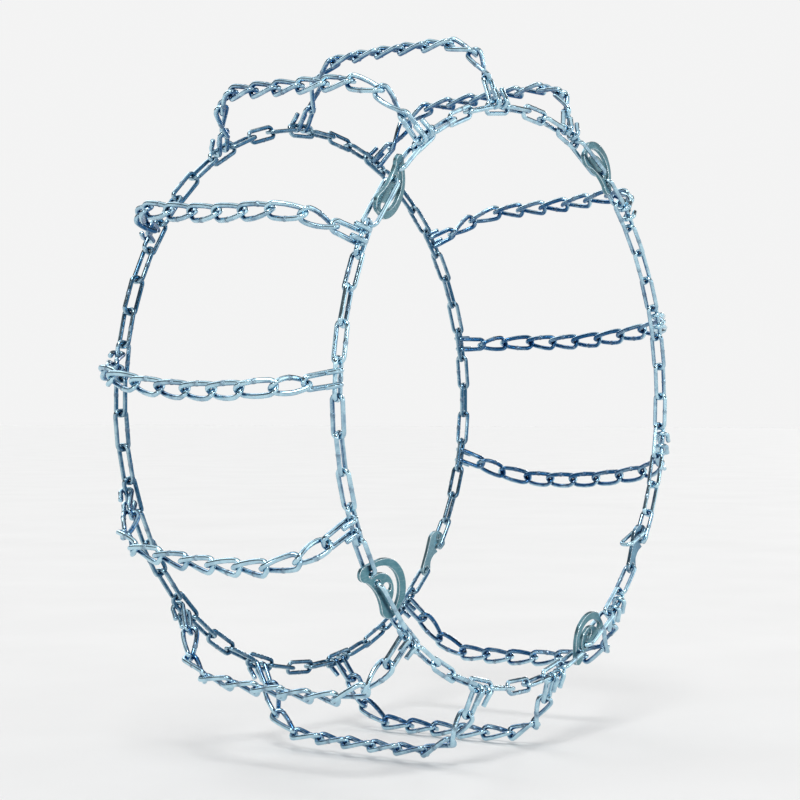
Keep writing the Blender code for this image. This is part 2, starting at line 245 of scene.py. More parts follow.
PLAIN_BAY = 4 * LINK_STEP
CAM_BAY = 2 * LINK_STEP + CAM_CHORD
FASTENER_BAY_ANGLE = 2 * math.pi - 8 * PLAIN_BAY - 4 * CAM_BAY
FASTENER_CHORD = FASTENER_BAY_ANGLE - 5 * LINK_STEP
FASTENER_REACH = 2 * RING_RADIUS * math.sin(FASTENER_CHORD / 2) - 2 * SIDE_WIRE


for item in list(bpy.data.objects):
    bpy.data.objects.remove(item, do_unlink=True)
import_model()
cad_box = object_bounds()


# ---------------------------------------------------------------- materials


class Nodes:
    """A short way to add and join shader nodes."""

    def __init__(self, name):
        self.material = bpy.data.materials.new(name)
        self.material.use_nodes = True
        self.tree = self.material.node_tree
        self.shader = self.tree.nodes["Principled BSDF"]
        self.where = self.add("ShaderNodeTexCoord").outputs["Object"]

    def add(self, kind, **values):
        node = self.tree.nodes.new(kind)
        for key, value in values.items():
            setattr(node, key, value)
        return node

    def join(self, source, target):
        self.tree.links.new(source, target)

    def noise(self, scale, detail=4.0, roughness=0.55, stretch=None, distortion=0.0):
        """Noise with about scale grains to the metre."""
        node = self.add("ShaderNodeTexNoise")
        node.inputs["Scale"].default_value = scale
        node.inputs["Detail"].default_value = detail
        node.inputs["Roughness"].default_value = roughness
        node.inputs["Distortion"].default_value = distortion
        source = self.where
        if stretch:
            mapping = self.add("ShaderNodeMapping")
            mapping.inputs["Scale"].default_value = stretch
            self.join(self.where, mapping.inputs["Vector"])
            source = mapping.outputs["Vector"]
        self.join(source, node.inputs["Vector"])
        return node.outputs["Fac"]

    def attribute(self, name):
        return self.add("ShaderNodeAttribute", attribute_name=name).outputs["Fac"]

    def ramp(self, source, low, high, start=0.0, end=1.0):
        """Goes from start to end as the source goes from low to high."""
        node = self.add("ShaderNodeMapRange", clamp=True)
        node.inputs["From Min"].default_value = low
        node.inputs["From Max"].default_value = high
        node.inputs["To Min"].default_value = start
        node.inputs["To Max"].default_value = end
        self.join(source, node.inputs["Value"])
        return node.outputs["Result"]

    def math(self, operation, a, b):
        node = self.add("ShaderNodeMath", operation=operation)
        for socket, value in zip(node.inputs, (a, b)):
            if isinstance(value, (int, float)):
                socket.default_value = value
            else:
                self.join(value, socket)
        return node.outputs["Value"]

    def mix(self, factor, a, b):
        node = self.add("ShaderNodeMix", data_type="RGBA")
        self.join(factor, node.inputs["Factor"])
        for socket, value in ((node.inputs[6], a), (node.inputs[7], b)):
            if isinstance(value, tuple):
                socket.default_value = (*value, 1)
            else:
                self.join(value, socket)
        return node.outputs[2]

    def bump(self, height, distance, strength, below=None):
        """A bumped normal, laid over the one below it."""
        node = self.add("ShaderNodeBump")
        node.inputs["Strength"].default_value = strength
        node.inputs["Distance"].default_value = distance
        self.join(height, node.inputs["Height"])
        if below is not None:
            self.join(below, node.inputs["Normal"])
        return node.outputs["Normal"]


def zinc_wire(name, silver, blue, roughness, dulling):
    """Bright blue-passivated zinc on round wire, with burnt weld beads, scuffed high spots, and painted
    shade on the inner and tire-facing sides.
    """
    n = Nodes(name)
    clouds = n.noise(95, 3.0, 0.6, distortion=0.4)
    tone = n.attribute("tone")
    film_and_shade = n.math("ADD", n.ramp(clouds, 0.30, 0.70, -0.15, 0.45), n.ramp(tone, 0, 1, -0.12, 0.14))
    # Painted shade: the inner side of each link and the side that faces the tire turn deep blue, as if
    # in shadow.
    film_and_shade = n.math("ADD", film_and_shade, n.ramp(n.attribute("painted_shade"), 0.15, 0.9, 0, 0.85))
    colour = n.mix(n.ramp(film_and_shade, 0.0, 1.0), silver, blue)
    scuffs = n.noise(620, 3.0, 0.7, stretch=(1, 0.22, 1))
    colour = n.mix(n.ramp(scuffs, 0.60, 0.72, 0, 0.55), colour, SCUFFED)
    grime = n.noise(260, 5.0, 0.65)
    colour = n.mix(n.ramp(grime, 0.58, 0.78, 0, dulling), colour, GRIME)
    weld = n.attribute("weld")
    burnt = n.math("MULTIPLY", weld, n.ramp(n.noise(900, 3.0), 0.25, 0.7, 0.35, 0.9))
    colour = n.mix(burnt, colour, BURNT)
    n.join(colour, n.shader.inputs["Base Color"])
    n.shader.inputs["Metallic"].default_value = 1.0
    rough = n.ramp(n.noise(420, 4.0, 0.6), 0.3, 0.75, roughness - 0.07, roughness + 0.11)
    rough = n.math("ADD", rough, n.math("MULTIPLY", weld, 0.22))
    n.join(rough, n.shader.inputs["Roughness"])
    grain = n.bump(n.noise(1500, 3.0, 0.6), 0.05 * MM, 0.07)
    dents = n.bump(n.noise(150, 2.0, 0.5), 0.3 * MM, 0.10, grain)
    beads = n.bump(n.math("MULTIPLY", n.noise(1100, 2.0), weld), 0.35 * MM, 0.8, dents)
    n.join(beads, n.shader.inputs["Normal"])
    return n.material


def zinc_plate(name, deep, pale, roughness):
    """Satin zinc on stamped plate: soft mottling, rolled streaks, and bright rubbed edges."""
    n = Nodes(name)
    mottle = n.noise(70, 5.0, 0.6, distortion=0.6)
    colour = n.mix(n.ramp(mottle, 0.35, 0.68), deep, pale)
    streaks = n.noise(240, 3.0, 0.6, stretch=(1, 1, 7))
    colour = n.mix(n.ramp(streaks, 0.52, 0.75, 0, 0.45), colour, ROLLED)
    specks = n.noise(1100, 2.0, 0.5)
    colour = n.mix(n.ramp(specks, 0.64, 0.74, 0, 0.6), colour, SPECKED)
    rub = n.math("MULTIPLY", n.attribute("edge"), n.ramp(n.noise(300, 3.0), 0.3, 0.6, 0.35, 1.0))
    colour = n.mix(rub, colour, RUBBED)
    n.join(colour, n.shader.inputs["Base Color"])
    n.shader.inputs["Metallic"].default_value = 1.0
    rough = n.ramp(n.noise(180, 5.0, 0.65), 0.3, 0.7, roughness - 0.08, roughness + 0.10)
    rough = n.math("SUBTRACT", rough, n.math("MULTIPLY", rub, 0.14))
    n.join(rough, n.shader.inputs["Roughness"])
    grain = n.bump(n.noise(1300, 4.0, 0.7), 0.06 * MM, 0.35)
    waves = n.bump(n.noise(120, 2.0, 0.5), 0.3 * MM, 0.22, grain)
    n.join(waves, n.shader.inputs["Normal"])
    return n.material


def floor_material():
    """Matt paper with a faint mottling."""
    n = Nodes("floor_paper")
    colour = n.mix(n.ramp(n.noise(3, 4.0), 0.3, 0.7), (0.79, 0.79, 0.79), (0.82, 0.82, 0.82))
    n.join(colour, n.shader.inputs["Base Color"])
    n.shader.inputs["Roughness"].default_value = 0.8
    return n.material


BRIGHT = zinc_wire("bright_zinc_wire", (0.49, 0.72, 0.83), (0.020, 0.10, 0.24), 0.15, 0.25)
WORN = zinc_wire("worn_zinc_wire", (0.42, 0.60, 0.69), (0.035, 0.12, 0.22), 0.21, 0.45)
PLATED = zinc_plate("cam_zinc_plate", (0.065, 0.20, 0.25), (0.11, 0.28, 0.34), 0.36)
BLUE_PLATE = zinc_plate("blue_zinc_plate", (0.07, 0.18, 0.29), (0.15, 0.32, 0.45), 0.30)
WORN_PLATE = zinc_plate("worn_zinc_plate", (0.10, 0.22, 0.28), (0.17, 0.32, 0.38), 0.40)


# ---------------------------------------------------------------- shapes


def on_ring(angle, radius=RING_RADIUS, y=-RING_Y):
    """A point of a ring around the axle."""
    return Vector((radius * math.sin(angle), y, radius * math.cos(angle)))


def placed(origin, x_axis, y_axis):
    """A placement with its X along x_axis and its Y as near y_axis as that allows."""
    x = x_axis.normalized()
    z = x.cross(y_axis).normalized()
    y = z.cross(x)
    return Matrix.Translation(origin) @ Matrix((x, y, z)).transposed().to_4x4()


def tube(points, radii, closed, up=None):
    """Corners, faces and inner-side share of painted shade of a round tube along points; up is a flat
    path's normal.
    """
    points = np.array(points, float)
    count = len(points)
    if closed:
        tangents = np.roll(points, -1, 0) - np.roll(points, 1, 0)
    else:
        tangents = np.gradient(points, axis=0)
    tangents /= np.linalg.norm(tangents, axis=1)[:, None]
    side = np.zeros_like(points)
    if up is not None:
        side[:] = np.cross(tangents, up)
    else:
        guess = np.cross(tangents[0], NO_WIRE_STARTS_ALONG)
        for index, tangent in enumerate(tangents):
            guess = guess - tangent * (guess @ tangent)
            guess /= np.linalg.norm(guess)
            side[index] = guess
    other = np.cross(tangents, side)
    turns = np.arange(WIRE_SIDES) * 2 * math.pi / WIRE_SIDES
    ring = np.cos(turns)[None, :, None] * side[:, None] + np.sin(turns)[None, :, None] * other[:, None]
    corners = points[:, None] + ring * np.array(radii)[:, None, None]
    # Painted shade on the inner half of the wire, the half turned towards the loop's middle.
    painted_shade = np.tile(np.clip(np.cos(turns), 0, 1), count)
    if up is None:
        painted_shade = np.zeros(len(painted_shade))
    faces = []
    for index in range(count if closed else count - 1):
        near, far = index * WIRE_SIDES, (index + 1) % count * WIRE_SIDES
        for turn in range(WIRE_SIDES):
            following = (turn + 1) % WIRE_SIDES
            faces.append((near + turn, near + following, far + following, far + turn))
    if not closed:
        faces.append(tuple(range(WIRE_SIDES))[::-1])
        faces.append(tuple((count - 1) * WIRE_SIDES + turn for turn in range(WIRE_SIDES)))
    return corners.reshape(-1, 3), faces, painted_shade


def rounded_loop(half_length, half_width, corner):
    """A link's centre line in the XY plane, from the middle of its +Y bar."""
    line = []
    bar, end = half_length - corner, half_width - corner
    for x in np.linspace(0, bar, BAR_STEPS + 1)[:-1]:
        line.append((x, half_width))
    for start, centre in ((90, (bar, end)), (0, (bar, -end)), (-90, (-bar, -end)), (-180, (-bar, end))):
        for turn in np.radians(np.linspace(start, start - 90, CORNER_STEPS + 1)):
            line.append((centre[0] + corner * math.cos(turn), centre[1] + corner * math.sin(turn)))
        if start == 0:
            for x in np.linspace(bar, -bar, 2 * BAR_STEPS + 1)[1:-1]:
                line.append((x, -half_width))
    for x in np.linspace(-bar, 0, BAR_STEPS + 1)[1:-1]:
        line.append((x, half_width))
    return [(x, y, 0) for x, y in line]


def link(half_length, half_width, wire, corner, chance, twists=(0, 0), weld_size=1.0):
    """One welded link: corners, faces, weld strength, inner-side painted shade. It twists about X from
    end to end.
    """
    line = np.array(rounded_loop(half_length, half_width, corner))
    bar = 1 if chance.random() < 0.5 else -1
    shift = chance.uniform(-WELD_SHIFT, WELD_SHIFT) * half_length
    near = np.abs(line[:, 0] - shift) + np.where(line[:, 1] * bar > 0.9 * half_width, 0, 1)
    bead = np.exp(-((near / BEAD_WIDTH) ** 2))
    flash = np.exp(-(((near - FLASH_OFFSET) / FLASH_WIDTH) ** 2))
    radii = wire * (1 + weld_size * (BEAD_SWELL * bead - FLASH_NECK * flash))
    corners, faces, painted_shade = tube(line, radii, True, (0, 0, 1))
    weld = np.repeat(np.clip(bead + FLASH_SHADE * flash, 0, 1) * weld_size, WIRE_SIDES)
    share = np.clip((corners[:, 0] + half_length) / (2 * half_length), 0, 1)
    turn = twists[0] + (twists[1] - twists[0]) * share
    y, z = corners[:, 1].copy(), corners[:, 2].copy()
    corners[:, 1] = y * np.cos(turn) - z * np.sin(turn)
    corners[:, 2] = y * np.sin(turn) + z * np.cos(turn)
    return corners, faces, weld, painted_shade


def tire_side(mesh):
    """How much each vertex faces the tire, whose core circle lies in the plane Y = 0, for painted shade
    on that side.
    """
    points = np.empty(len(mesh.vertices) * 3)
    mesh.vertices.foreach_get("co", points)
    points = points.reshape(-1, 3)
    normals = np.empty(len(points) * 3, np.float32)
    mesh.vertex_normals.foreach_get("vector", normals)
    core = points * (TIRE_CORE / np.hypot(points[:, 0], points[:, 2]))[:, None]
    core[:, 1] = 0
    inward = core - points
    inward /= np.linalg.norm(inward, axis=1)[:, None]
    return np.clip((normals.reshape(-1, 3) * inward).sum(axis=1), 0, 1)


def chain_mesh(name, pieces, chance):
    """One mesh of several ((corners, faces, weld, inner shade), placement) pairs, each with its own
    tone.

    Its shade attribute is painted shade: the share of each link's inner side, and of the side facing
    the tire.
    """
    corners, faces, welds, painted_shades, tones = [], [], [], [], []
    first = 0
    for (local, local_faces, weld, painted_shade), place in pieces:
        turn = np.array(place.to_3x3())
        corners.append(local @ turn.T + np.array(place.translation))
        faces += [tuple(first + c for c in face) for face in local_faces]
        welds.append(weld)
        painted_shades.append(painted_shade)
        tones.append(np.full(len(local), chance.random()))
        first += len(local)
    mesh = bpy.data.meshes.new(name)
    mesh.from_pydata(np.concatenate(corners).tolist(), [], faces)
    # Painted shade: the inner side of each link, plus the side that faces the tire.
    shaded = np.clip(np.concatenate(painted_shades) * INNER_SHADE + tire_side(mesh), 0, 1)
    values = {"weld": np.concatenate(welds), "painted_shade": shaded, "tone": np.concatenate(tones)}
    for key, value in values.items():
        layer = mesh.attributes.new(key, "FLOAT", "POINT")
        layer.data.foreach_set("value", value.astype(np.float32))
    mesh.shade_smooth()
    return mesh


def add_piece(name, mesh, material, body, node):
    """A visible piece that rides on a body and stands for a CAD node."""
    piece = bpy.data.objects.new(name, mesh)
    bpy.context.scene.collection.objects.link(piece)
    mesh.materials.append(material)
    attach(piece, body)
    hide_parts(node)
    return piece


def side_link(start, end, side, upright, chance):
    """A side chain link between two joints: upright, or level with the sidewall."""
    middle = (start + end) / 2
    along = end - start
    outward = Vector((middle.x, 0, middle.z)).normalized()
    across = outward * math.cos(HOOK_LINK_TILT) + side * math.sin(HOOK_LINK_TILT)
    half = along.length / 2 + SIDE_WIRE - TOUCH / 2
    shape = link(half, SIDE_HALF_WIDTH, SIDE_WIRE, SIDE_CORNER, chance)
    place = placed(middle, along, side if upright else across)
    return shape, place


def hook_angles():
    """The angle of each cross chain around the ring."""
    angles = [FIRST_CROSS]
    for bay in range(CROSS_COUNT - 1):
        step = PLAIN_BAY
        if bay in CAM_BAYS:
            step = CAM_BAY
        if bay == FASTENER_BAY:
            step = FASTENER_BAY_ANGLE
        angles.append(angles[-1] + step)
    return angles


def ring_spans(angles, with_cams):
    """Runs of (start, end, upright) links, once round the ring from the fastener to the fastener."""
    half = LINK_STEP / 2
    order = [(FASTENER_BAY + 1 + k) % CROSS_COUNT for k in range(CROSS_COUNT)]
    first = angles[order[0]] - half
    runs = [[(first - LINK_STEP, first, True)]]
    for number in order:
        angle = angles[number] + (0 if number > FASTENER_BAY else 2 * math.pi)
        runs[-1].append((angle - half, angle + half, False))
        joint, step = angle + half, LINK_STEP
        if number in CAM_BAYS and with_cams:
            start = joint + CAM_CHORD
            runs.append([(start, start + LINK_STEP, True)])
            continue
        if number in CAM_BAYS:
            step = (CAM_BAY - LINK_STEP) / 3
        runs[-1] += [(joint + step * k, joint + step * (k + 1), k != 1) for k in range(3)]
    return runs


def side_run(name, spans, side, y, shift, material, node):
    """One run of a side chain's links."""
    chance = random.Random(name)
    links = []
    for start, end, upright in spans:
        ends = on_ring(start + shift, y=y), on_ring(end + shift, y=y)
        links.append(side_link(*ends, side, upright, chance))
    add_piece(name, chain_mesh(name, links, chance), material, "side_chains", node)


def side_chains(angles):
    """The street side in five runs between the cams, and the vehicle side in four."""
    for number, spans in enumerate(ring_spans(angles, True), 1):
        node = f"outer_side_chain_{number}"
        side_run("links_" + node, spans, OUTBOARD, -RING_Y, 0, BRIGHT, node)
    (spans,) = ring_spans(angles, False)
    breaks = [len(spans) * k // INNER_RUNS for k in range(INNER_RUNS + 1)]
    for number, (start, end) in enumerate(zip(breaks, breaks[1:]), 1):
        node = f"inner_side_chain_{number}"
        run = spans[start:end]
        side_run("links_" + node, run, INBOARD, INNER_RING_Y, INNER_RING_TURN, WORN, node)


def tread_line(s):
    """Y and radius of the tread line at s, its length from mid-tread towards the street side."""
    side = math.copysign(1, s)
    s = abs(s)
    lean = CROWN_HALF / CROWN_RADIUS
    crown = min(s, CROWN_HALF) / CROWN_RADIUS
    y = CROWN_RADIUS * math.sin(crown)
    r = TREAD_RADIUS - CROWN_RADIUS * (1 - math.cos(crown))
    bend = min(max(s - CROWN_HALF, 0) / SHOULDER_RADIUS, SIDE_SLOPE - lean)
    y += SHOULDER_RADIUS * (math.sin(lean + bend) - math.sin(lean))
    r -= SHOULDER_RADIUS * (math.cos(lean) - math.cos(lean + bend))
    rest = max(s - CROWN_HALF - SHOULDER_RADIUS * (SIDE_SLOPE - lean), 0)
    return -side * (y + rest * math.cos(SIDE_SLOPE)), r - rest * math.sin(SIDE_SLOPE)


def on_cross_line(angle, s):
    """A cross chain's line hangs a little below the straight way between its two hooks."""
    y, r = tread_line(s)
    droop = CROSS_DROOP * math.sin(angle) * (1 - (s / LINE_HALF) ** 2)
    turn = INNER_RING_TURN * (LINE_HALF - s) / (2 * LINE_HALF)
    return on_ring(angle + droop + turn, r, y)


def joints_on_line(angle):
    """Joint points one pitch apart along a cross chain's line, from the inner to the outer end.

    The middle one of an odd number of links lies CROSS_SHIFT from mid-tread.
    """
    points = []
    for direction in (-1, 1):
        s = CROSS_SHIFT + direction * CROSS_PITCH / 2
        for _ in range(CROSS_LINKS // 2 + 1):
            here = on_cross_line(angle, s)
            points = [here, *points] if direction < 0 else [*points, here]
            low, high = 0.5 * CROSS_PITCH, 1.6 * CROSS_PITCH
            for _ in range(HALVINGS):
                middle = (low + high) / 2
                if (on_cross_line(angle, s + direction * middle) - here).length < CROSS_PITCH:
                    low = middle
                else:
                    high = middle
            s += direction * low
    return points


def twist_link(start, end, angle, first, last, chance):
    """A twisted link lying on the tread."""
    along = (end - start).normalized()
    middle = (start + end) / 2
    rolling = Vector((math.cos(angle), 0, -math.sin(angle)))
    half = (end - start).length / 2 + CROSS_WIRE - TOUCH / 2
    twists = HOOKED_TWIST if first else TWIST_START, -HOOKED_TWIST if last else TWIST_END
    shape = link(half, CROSS_HALF_WIDTH, CROSS_WIRE, CROSS_CORNER, chance, twists, CROSS_WELD_SIZE)
    return shape, placed(middle, along, rolling)


def bar_centre(angle, side, y):
    """The middle of a hook link's outward bar."""
    outward = Vector((math.sin(angle), 0, math.cos(angle)))
    across = outward * math.cos(HOOK_LINK_TILT) + side * math.sin(HOOK_LINK_TILT)
    middle = on_ring(angle, RING_RADIUS * math.cos(LINK_STEP / 2), y)
    return middle + across * SIDE_HALF_WIDTH


def hook_leg(reach, lean):
    """One leg's centre line, from its cut tip round the bar to the middle of the bight."""
    foot = HOOK_LEG_HALF * lean
    leg = []
    for x in np.linspace(HOOK_TIP, 0, 8):
        leg.append((foot + x, HOOK_LEG_HALF, HOOK_BEND + HOOK_TIP_FLARE * (x / HOOK_TIP) ** 2))
    for turn in np.radians(np.linspace(*HOOK_CURL, 17)):
        leg.append((foot + HOOK_BEND * math.cos(turn), HOOK_LEG_HALF, HOOK_BEND * math.sin(turn)))
    bight = reach - HOOK_BIGHT_HALF
    start = leg[-1]
    for f in np.linspace(0, 1, 12)[1:]:
        ease = f * f * (3 - 2 * f)
        c = HOOK_LEG_HALF + (HOOK_BIGHT_HALF - HOOK_LEG_HALF) * ease
        leg.append((start[0] + (bight - start[0]) * f, c, start[2] * (1 - f)))
    for turn in np.radians(np.linspace(80, 0, 9)):
        leg.append((bight + HOOK_BIGHT_HALF * math.cos(turn), HOOK_BIGHT_HALF * math.sin(turn), 0))
    return leg


def end_hook(bar, bar_axis, bight, side):
    """A U of wire with two curled legs, cut square and a little rounded at its tips."""
    reach = bight - bar
    place = placed(bar, reach, bar_axis)
    turned = place.to_3x3()
    out = 1 if (turned @ Vector((0, 0, 1))).dot(side) > 0 else -1
    lean = turned.transposed() @ bar_axis
    slope = lean.x / lean.y
    line = [Vector((x, c, out * b)) for x, c, b in hook_leg(reach.length, slope)]
    line += [Vector((x, -c, out * b)) for x, c, b in reversed(hook_leg(reach.length, -slope)[:-1])]
    line.insert(1, line[0].lerp(line[1], HOOK_CHAMFER / (line[1] - line[0]).length))
    line.insert(-1, line[-1].lerp(line[-2], HOOK_CHAMFER / (line[-2] - line[-1]).length))
    radii = [HOOK_WIRE] * len(line)
    radii[0] = radii[-1] = HOOK_WIRE * HOOK_CUT_SHARE
    corners, faces, painted_shade = tube(line, radii, False)
    return (corners, faces, np.zeros(len(corners)), painted_shade), place


def cross_chain(number, angle):
    """A cross chain of twisted links with its two end hooks."""
    tag = f"{number:02d}"
    body = "cross_" + tag
    chance = random.Random("cross" + tag)
    joints = joints_on_line(angle)
    outer_bar = bar_centre(angle, OUTBOARD, -RING_Y)
    inner_bar = bar_centre(angle + INNER_RING_TURN, INBOARD, INNER_RING_Y)
    links = []
    for index, (start, end) in enumerate(zip(joints, joints[1:])):
        near = angle + INNER_RING_TURN * (1 - (index + 0.5) / CROSS_LINKS)
        links.append(twist_link(start, end, near, index == 0, index == CROSS_LINKS - 1, chance))
    node = "cross_chain_" + tag
    add_piece("links_" + node, chain_mesh(node, links, chance), BRIGHT, body, node)
    ends = (
        ("outer_hook_", outer_bar, angle, joints[-1], joints[-2], OUTBOARD),
        ("inner_hook_", inner_bar, angle + INNER_RING_TURN, joints[0], joints[1], INBOARD),
    )
    for name, bar, bar_angle, last, before, side in ends:
        along = (last - before).normalized()
        bight = last - along * (HOOK_WIRE + GAP)
        bar_axis = Vector((math.cos(bar_angle), 0, -math.sin(bar_angle)))
        shape = end_hook(bar, bar_axis, bight, side)
        mesh = chain_mesh(name + tag, [shape], chance)
        add_piece("wire_" + name + tag, mesh, BRIGHT, body, name + tag)


def arc(centre, radius, start, end, count):
    """Points on an arc; start and end in degrees."""
    angles = [math.radians(a) for a in np.linspace(start, end, count)]
    return [(centre[0] + radius * math.cos(a), centre[1] + radius * math.sin(a)) for a in angles]


def circle(centre, radius):
    """A full circle of points."""
    return arc(centre, radius, 0, 350, 36)


def smooth(points, rounds):
    """A closed outline with its corners cut again and again."""
    line = [Vector(p) for p in points]
    for _ in range(rounds):
        cut = []
        for here, after in zip(line, line[1:] + line[:1]):
            cut.append(here.lerp(after, 0.25))
            cut.append(here.lerp(after, 0.75))
        line = cut
    return [tuple(p) for p in line]


def cam_swing(arm, reach, slack):
    """How far the pivot link swings while the bow in the slot goes from rest to its slack end."""
    return math.acos((arm**2 + reach**2 - slack**2) / (2 * arm * reach))


def slot_line(arm, distance, count):
    """Where the fixed bow lies in the turning cam: angle and radius from the cam's pivot."""
    swing = cam_swing(arm, distance, CAM_SLACK_REACH)
    line = []
    for swung in np.linspace(0, swing, count):
        x = distance - arm * math.cos(swung)
        y = -arm * math.sin(swung)
        line.append((math.atan2(y, x) - swung * (1 + CAM_TURN / swing), math.hypot(x, y)))
    return line


def end_cap(centre, corner):
    """Points that round a slot's end, from the corner where one of its sides stops."""
    spoke = corner - centre
    return [centre + Matrix.Rotation(math.radians(a), 2) @ spoke for a in range(15, 180, 15)]


def cam_outlines(arm, distance):
    """The cam's edge, its spiral slot, its pivot hole and its tool hole."""
    last = SLOT_STEPS - 1
    centre = []
    for angle, radius in slot_line(arm, distance, SLOT_STEPS):
        centre.append(Vector((radius * math.cos(angle), radius * math.sin(angle))))
    centre[0] += (centre[0] - centre[1]).normalized() * SLOT_SPARE
    centre[-1] += (centre[-1] - centre[-2]).normalized() * SLOT_SPARE
    inner, outer, edge = [], [], []
    for index, point in enumerate(centre):
        run = (centre[min(index + 1, last)] - centre[max(index - 1, 0)]).normalized()
        away = Vector((-run.y, run.x))
        rim = CAM_RIM + CAM_RIM_GROWTH * min(index / last / CAM_RIM_FULL_AT, 1)
        outer.append(point + away * SLOT_HALF)
        inner.append(point - away * SLOT_HALF)
        edge.append(point + away * (SLOT_HALF + rim))
    slot = inner + end_cap(centre[-1], inner[-1]) + outer[::-1] + end_cap(centre[0], outer[0])
    lobe = arc(CAM_LOBE, CAM_LOBE_RADIUS, 150, -30, 19)
    tail = arc((centre[-1].x, CAM_TAIL_RISE), CAM_TAIL_RADIUS, 210, 70, 15)
    start, end = Vector(tail[-1]), Vector(lobe[0])
    waist = []
    for f in np.linspace(0.08, 0.92, 12):
        waist.append(start.lerp(end, f) - Vector((0, CAM_WAIST_DIP * f * (1 - f))))
    rim_line = edge[CAM_RIM_ENDS[0] : -CAM_RIM_ENDS[1]]
    pin = circle((0, 0), PIN_HOLE)
    tool = arc(TOOL_HOLE_FRONT, TOOL_HOLE_RADIUS, -60, 120, 13)
    tool += arc(TOOL_HOLE_BACK, TOOL_HOLE_RADIUS, 120, 300, 13)
    return [smooth(lobe + rim_line + tail + waist, SMOOTH_ROUNDS), slot, pin, tool]


def plate_outlines():
    """The fastener's edge, its pivot hole and its ring hole."""
    seat = FASTENER_REACH
    heel = arc((0, 0), HEEL_RADIUS, 90, 270, 17)
    head = arc(HEAD, HEAD_RADIUS, -100, 55, 25)
    upper_jaw = arc((0, 0), seat + SLOT_HALF, 14, 0, 9)
    bend = arc((seat, 0), SLOT_HALF, -10, -170, 13)
    lower_jaw = arc((0, 0), seat - SLOT_HALF, 0, 9, 5)
    outline = heel + list(SPINE) + head + upper_jaw + bend + lower_jaw + list(SHANK)
    pin = circle((0, 0), PIN_HOLE)
    return [smooth(outline, SMOOTH_ROUNDS), pin, circle(KEEPER_HOLE, KEEPER_HOLE_RADIUS)]


def plate_mesh(name, outlines, place):
    """A stamped plate with rounded edges, whose edge attribute is 1 on the rounding."""
    curve = bpy.data.curves.new(name, "CURVE")
    curve.dimensions = "2D"
    curve.fill_mode = "BOTH"
    curve.extrude = PLATE_THICKNESS / 2 - PLATE_ROUND
    curve.bevel_depth = PLATE_ROUND
    curve.bevel_resolution = 3
    curve.offset = -PLATE_ROUND
    for outline in outlines:
        line = curve.splines.new("POLY")
        line.points.add(len(outline) - 1)
        for knot, (x, y) in zip(line.points, outline):
            knot.co = (x, y, 0, 1)
        line.use_cyclic_u = True
    guide = bpy.data.objects.new("guide", curve)
    bpy.context.scene.collection.objects.link(guide)
    shown = guide.evaluated_get(bpy.context.evaluated_depsgraph_get())
    mesh = bpy.data.meshes.new_from_object(shown)
    bpy.data.objects.remove(guide)
    bpy.data.curves.remove(curve)
    shape = bmesh.new()
    shape.from_mesh(mesh)
    bmesh.ops.remove_doubles(shape, verts=shape.verts, dist=1e-6)
    bmesh.ops.recalc_face_normals(shape, faces=shape.faces)
    shape.to_mesh(mesh)
    shape.free()
    height = np.array([v.co.z for v in mesh.vertices])
    flat = np.abs(np.abs(height) - PLATE_THICKNESS / 2) < 1e-6
    level = np.abs(height) < PLATE_THICKNESS / 2 - PLATE_ROUND * 0.7
    layer = mesh.attributes.new("edge", "FLOAT", "POINT")
    wear = np.where(flat, FACE_WEAR, np.where(level, WALL_WEAR, ROUNDING_WEAR))
    layer.data.foreach_set("value", wear.astype(np.float32))
    mesh.transform(place)
    mesh.shade_smooth()
    mesh.set_sharp_from_angle(angle=SHARP_ANGLE)
    return mesh


def tension_cam(number, angle, outward, tilt):
    """A cam on the bow of a fixed link, and the long link that it pivots on."""
    hook_joint = on_ring(angle + LINK_STEP / 2)
    slot_joint = on_ring(angle + LINK_STEP / 2 + CAM_CHORD)
    along = (slot_joint - hook_joint).normalized()
    bow = slot_joint - along * SIDE_WIRE
    foot = hook_joint - along * (SIDE_WIRE + PIVOT_GAP)
    pivot = bow - along * CAM_REST_REACH
    lean = Matrix.Rotation(tilt, 3, along)
    away = lean @ Vector((pivot.x, 0, pivot.z)).normalized() * (-1 if outward else 1)
    arm = (pivot - foot).length
    outlines = cam_outlines(arm, (bow - foot).length)
    mesh = plate_mesh(f"cam_{number}", outlines, placed(pivot, along, away))
    node = f"tension_cam_{number}"
    add_piece("plate_" + node, mesh, PLATED, f"cam_{number}", node)
    chance = random.Random(node)
    shape = link(arm / 2, PIVOT_HALF_WIDTH, SIDE_WIRE, PIVOT_HALF_WIDTH - OVAL_CORNER, chance)
    node = f"cam_pivot_link_{number}"
    mesh = chain_mesh(node, [(shape, placed((pivot + foot) / 2, along, lean @ OUTBOARD))], chance)
    add_piece("wire_" + node, mesh, BRIGHT, f"cam_link_{number}", node)


def fastener(node, low_angle, y, material, body):
    """A hook plate between a fixed link's bow in its pivot hole and another bow in its open slot."""
    low, high = on_ring(low_angle, y=y), on_ring(low_angle - FASTENER_CHORD, y=y)
    up = (high - low).normalized()
    pivot = low + up * SIDE_WIRE
    place = placed(pivot, up, Vector((pivot.x, 0, pivot.z)).normalized())
    mesh = plate_mesh(node, plate_outlines(), place)
    add_piece("plate_" + node, mesh, material, body, node)
    return place


def keeper_ring(place):
    """The oval ring that hangs in the fastener's head."""
    hole = place @ Vector((*KEEPER_HOLE, 0))
    along = place.to_3x3() @ Vector(KEEPER_WAY)
    chance = random.Random("keeper")
    corner = KEEPER_HALF_WIDTH - OVAL_CORNER
    shape = link(KEEPER_LENGTH / 2, KEEPER_HALF_WIDTH, KEEPER_WIRE, corner, chance)
    middle = hole + along.normalized() * KEEPER_LENGTH / 2
    mesh = chain_mesh("keeper", [(shape, placed(middle, along, OUTBOARD))], chance)
    add_piece("wire_keeper_ring", mesh, BRIGHT, "keeper", "keeper_ring")


